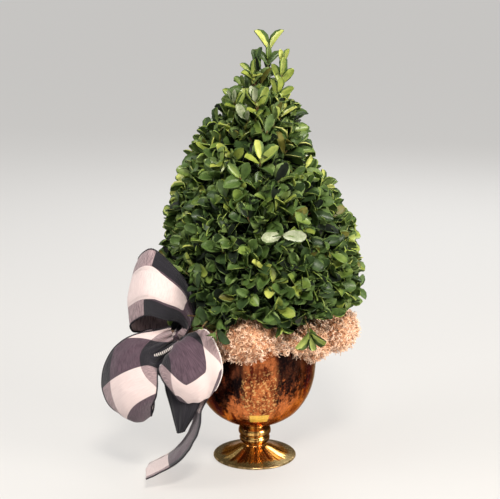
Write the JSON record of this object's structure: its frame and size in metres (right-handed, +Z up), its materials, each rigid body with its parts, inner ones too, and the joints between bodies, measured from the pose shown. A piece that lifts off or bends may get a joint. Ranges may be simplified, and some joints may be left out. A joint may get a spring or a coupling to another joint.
{
  "type": "potted boxwood cone topiary",
  "caption": "Clipped boxwood cone in a footed mirrored-glass bowl, ringed with reindeer moss, with a checked ribbon bow at one side.",
  "frame": {"origin": "centre of the foot's flat underside, on the surface that the bowl stands on", "axes": "+Z up, -Y towards the front, where the bow hangs at the left, +X to the right seen from the front"},
  "size_m": [0.2647, 0.223, 0.4509],
  "materials": {
    "mirrored_glass": "amber mirrored glass, mottled and speckled, clear greenish rim on the foot",
    "potting_mix": "dark crumbly peat",
    "bark": "finely fissured grey-brown bark",
    "foliage": "glossy dark green leaves with paler new growth",
    "moss": "pale cream, curly and finely branched",
    "ribbon": "black and white check weave with wired edges",
    "wire": "green enamelled florist's wire"
  },
  "bodies": {
    "root": {"glass_bowl": "mirrored_glass", "potting_mix": "potting_mix", "trunk": "bark", "foliage_cone": "foliage", "moss_right": "moss", "moss_back_right": "moss", "moss_back": "moss", "moss_back_left": "moss", "moss_left": "moss", "moss_by_bow": "moss", "moss_behind_bow": "moss", "moss_front_left": "moss", "moss_front": "moss", "moss_front_right": "moss", "bow_pick": "wire", "bow_knot": "ribbon", "bow_upper_front": "ribbon", "bow_upper_back": "ribbon", "bow_lower_front": "ribbon", "bow_lower_back": "ribbon", "bow_right_front": "ribbon", "bow_right_back": "ribbon", "bow_tail_short": "ribbon", "bow_tail_long": "ribbon"}
  },
  "joints": []
}
